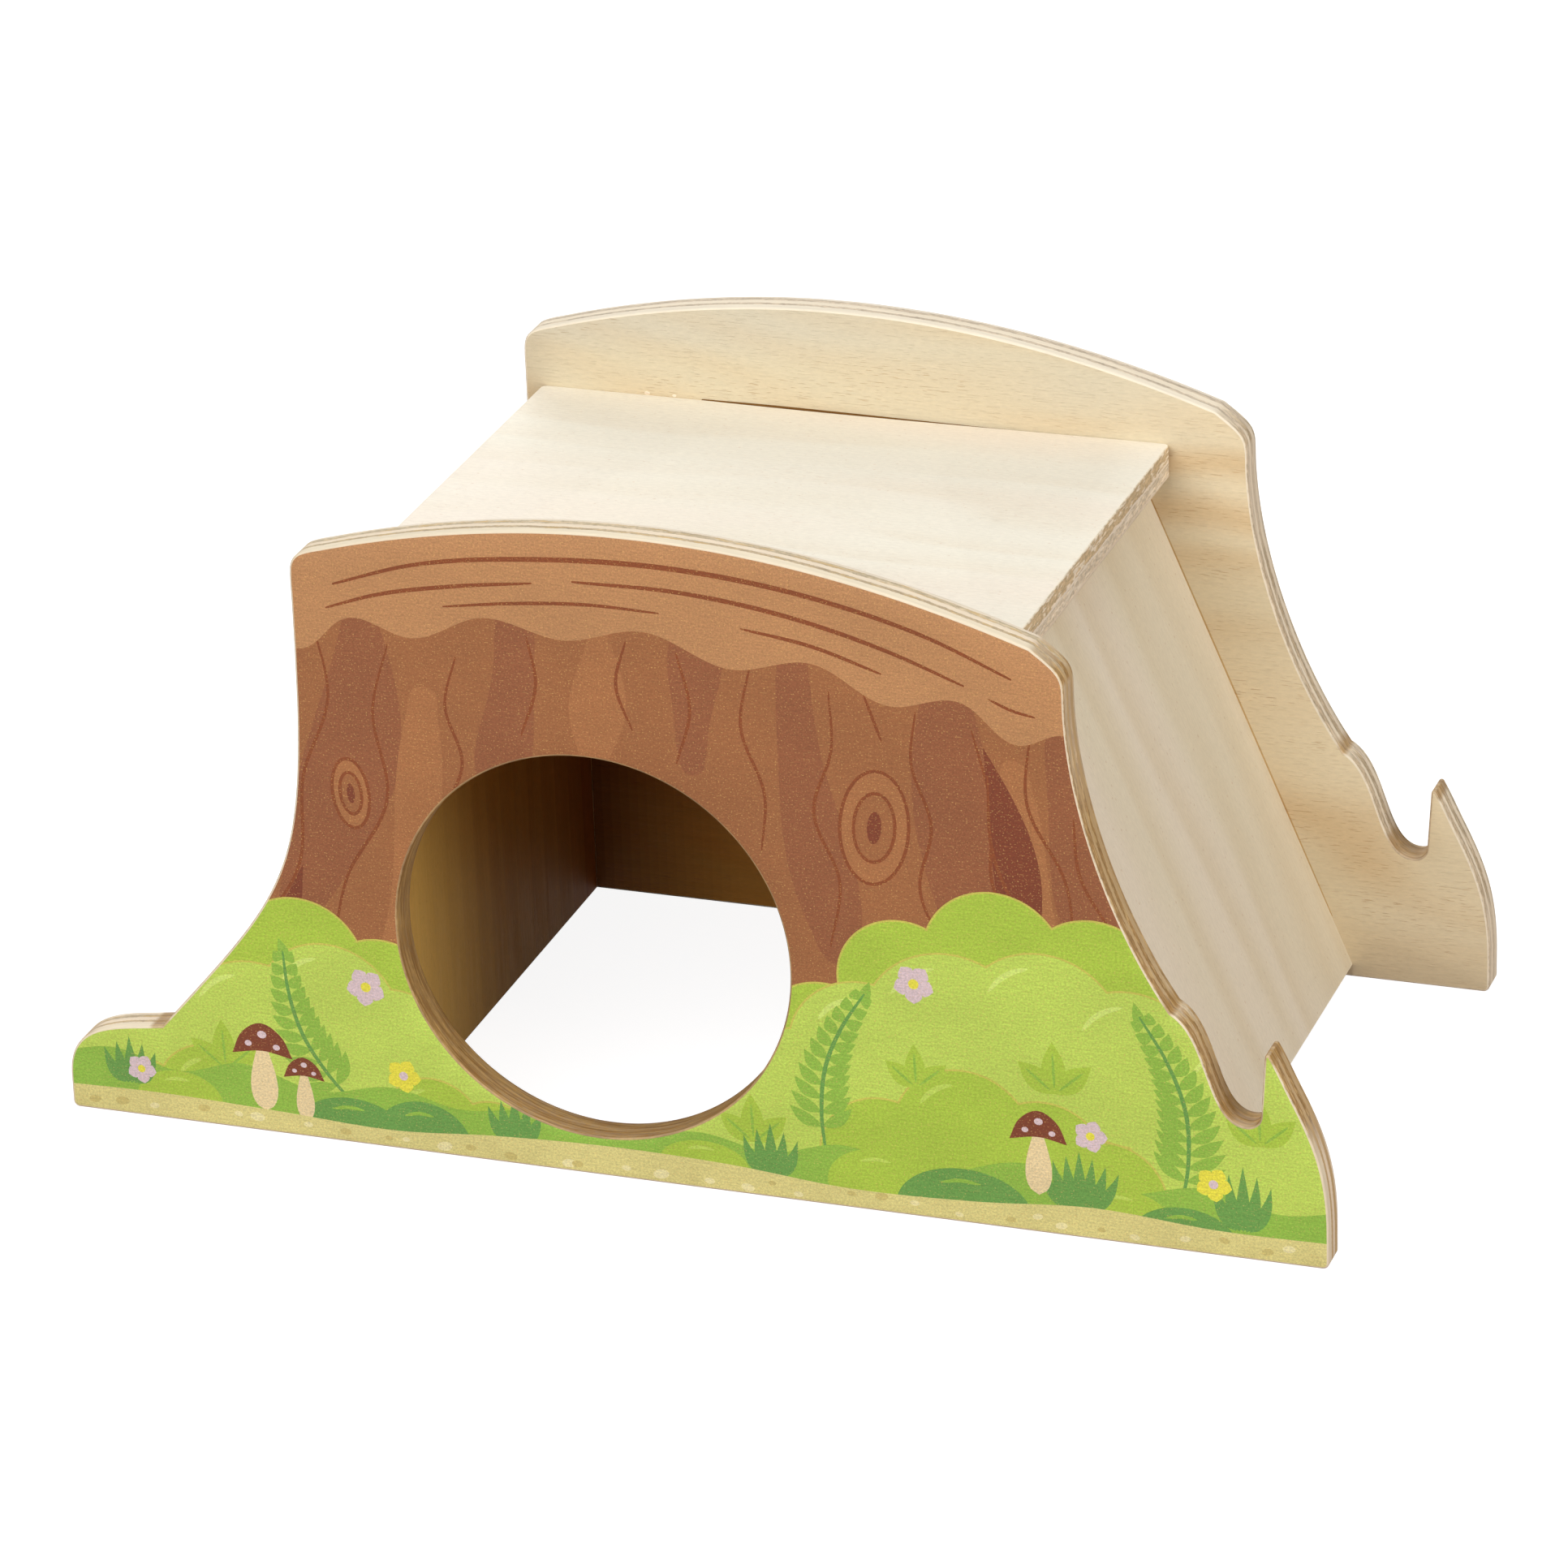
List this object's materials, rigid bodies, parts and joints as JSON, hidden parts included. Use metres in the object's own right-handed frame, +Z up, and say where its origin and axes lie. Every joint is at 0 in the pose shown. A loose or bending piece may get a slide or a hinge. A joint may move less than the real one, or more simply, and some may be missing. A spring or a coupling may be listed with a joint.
{
  "type": "wooden small animal hide",
  "caption": "Floorless plywood hide for a small pet: two stump-shaped end boards with a round entrance in the front one, flat roof, upright and leaning side walls.",
  "frame": {"origin": "on the floor under the middle of the hide, the bottom centre of its bounding box", "axes": "+X along the width, towards the leaning wall; +Y from the front board with the entrance to the back board; +Z up"},
  "size_m": [0.225, 0.1144, 0.1174],
  "materials": {
    "printed_panel": "matte printed plywood",
    "plain_panel": "bare sanded plywood",
    "roof": "bare sanded plywood",
    "walls": "bare sanded plywood",
    "dowel": "bare beech"
  },
  "bodies": {
    "root": {"front_panel": "printed_panel", "back_panel": "plain_panel", "roof_board": "roof", "left_wall": "walls", "right_wall": "walls", "roof_front_dowels": "dowel", "roof_back_dowels": "dowel", "left_wall_front_dowels": "dowel", "left_wall_back_dowels": "dowel", "left_wall_top_dowels": "dowel", "right_wall_front_dowels": "dowel", "right_wall_back_dowels": "dowel"}
  },
  "joints": []
}
